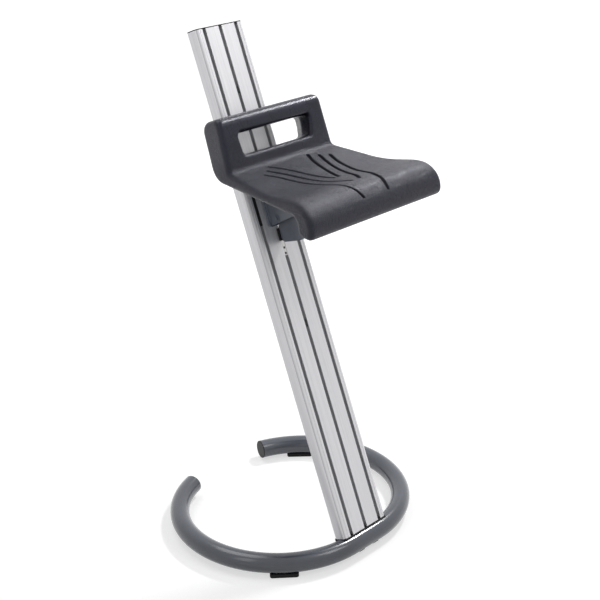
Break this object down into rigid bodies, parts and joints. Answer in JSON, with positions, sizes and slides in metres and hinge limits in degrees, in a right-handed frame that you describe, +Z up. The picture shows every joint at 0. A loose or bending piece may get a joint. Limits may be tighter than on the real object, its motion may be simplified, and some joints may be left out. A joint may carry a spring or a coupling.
{
  "type": "perch stool",
  "caption": "Perch stool: moulded seat with a hand-hold, on a bracket that slides up and down a leaning slotted aluminium column fixed to a C-shaped tube base.",
  "frame": {"origin": "on the floor under the middle of the bounding box", "axes": "+Z up, +Y from the seat's front edge to the open back of the floor ring, +X to the right as seen from the front"},
  "size_m": [0.508, 0.4328, 0.9749],
  "materials": {
    "ring_paint": "semi-gloss blue-grey powder coat",
    "bracket_paint": "semi-gloss blue-grey powder coat",
    "anodised_aluminium": "satin natural anodised, drawn along its length",
    "seat_foam": "integral-skin polyurethane foam with a fine leather grain",
    "black_rubber": "matt",
    "black_plastic": "matt moulded",
    "zinc_steel": "zinc plated"
  },
  "bodies": {
    "base": {"base_tube": "ring_paint", "tube_end_cap_left": "black_plastic", "tube_end_cap_right": "black_plastic", "foot_pad_front_left": "black_rubber", "foot_pad_front_right": "black_rubber", "foot_pad_rear_left": "black_rubber", "foot_pad_rear_right": "black_rubber", "foot_screws": "zinc_steel", "column_profile": "anodised_aluminium", "column_top_cap": "black_plastic", "column_saddle": "black_plastic", "column_bolts": "zinc_steel", "saddle_washers": "zinc_steel", "access_plugs": "black_plastic", "travel_stops": "zinc_steel"},
    "carriage": {"carriage_plate": "bracket_paint", "glide_pads": "black_plastic", "guide_shoe_left": "black_plastic", "guide_shoe_right": "black_plastic", "shoe_screws": "zinc_steel", "slide_bar": "zinc_steel", "slide_bar_screws": "zinc_steel", "bar_set_screws": "zinc_steel", "gusset_left": "bracket_paint", "gusset_right": "bracket_paint", "seat_support_plate": "bracket_paint", "pivot_pin": "zinc_steel", "pin_clips": "zinc_steel", "seat_shell": "seat_foam", "seat_insert": "zinc_steel", "seat_washers": "zinc_steel", "seat_bolts": "zinc_steel", "return_spring": "zinc_steel"},
    "lever": {"release_lever": "bracket_paint", "brake_pad": "black_rubber", "lever_grip": "black_plastic"}
  },
  "joints": [
    {"name": "seat_slide", "type": "slide", "parent": "base", "child": "carriage", "axis": [0, 0.3795, 0.9252], "range_m": [-0.13, 0.125]},
    {"name": "release_lever_hinge", "type": "hinge", "parent": "carriage", "child": "lever", "pos_m": [0, 0.02141, 0.63589], "axis": [-1, 0, 0], "range_deg": [0, 10], "stiffness_Nm_per_rad": 6, "springref_deg": -5.73, "deforming": ["return_spring"]}
  ]
}
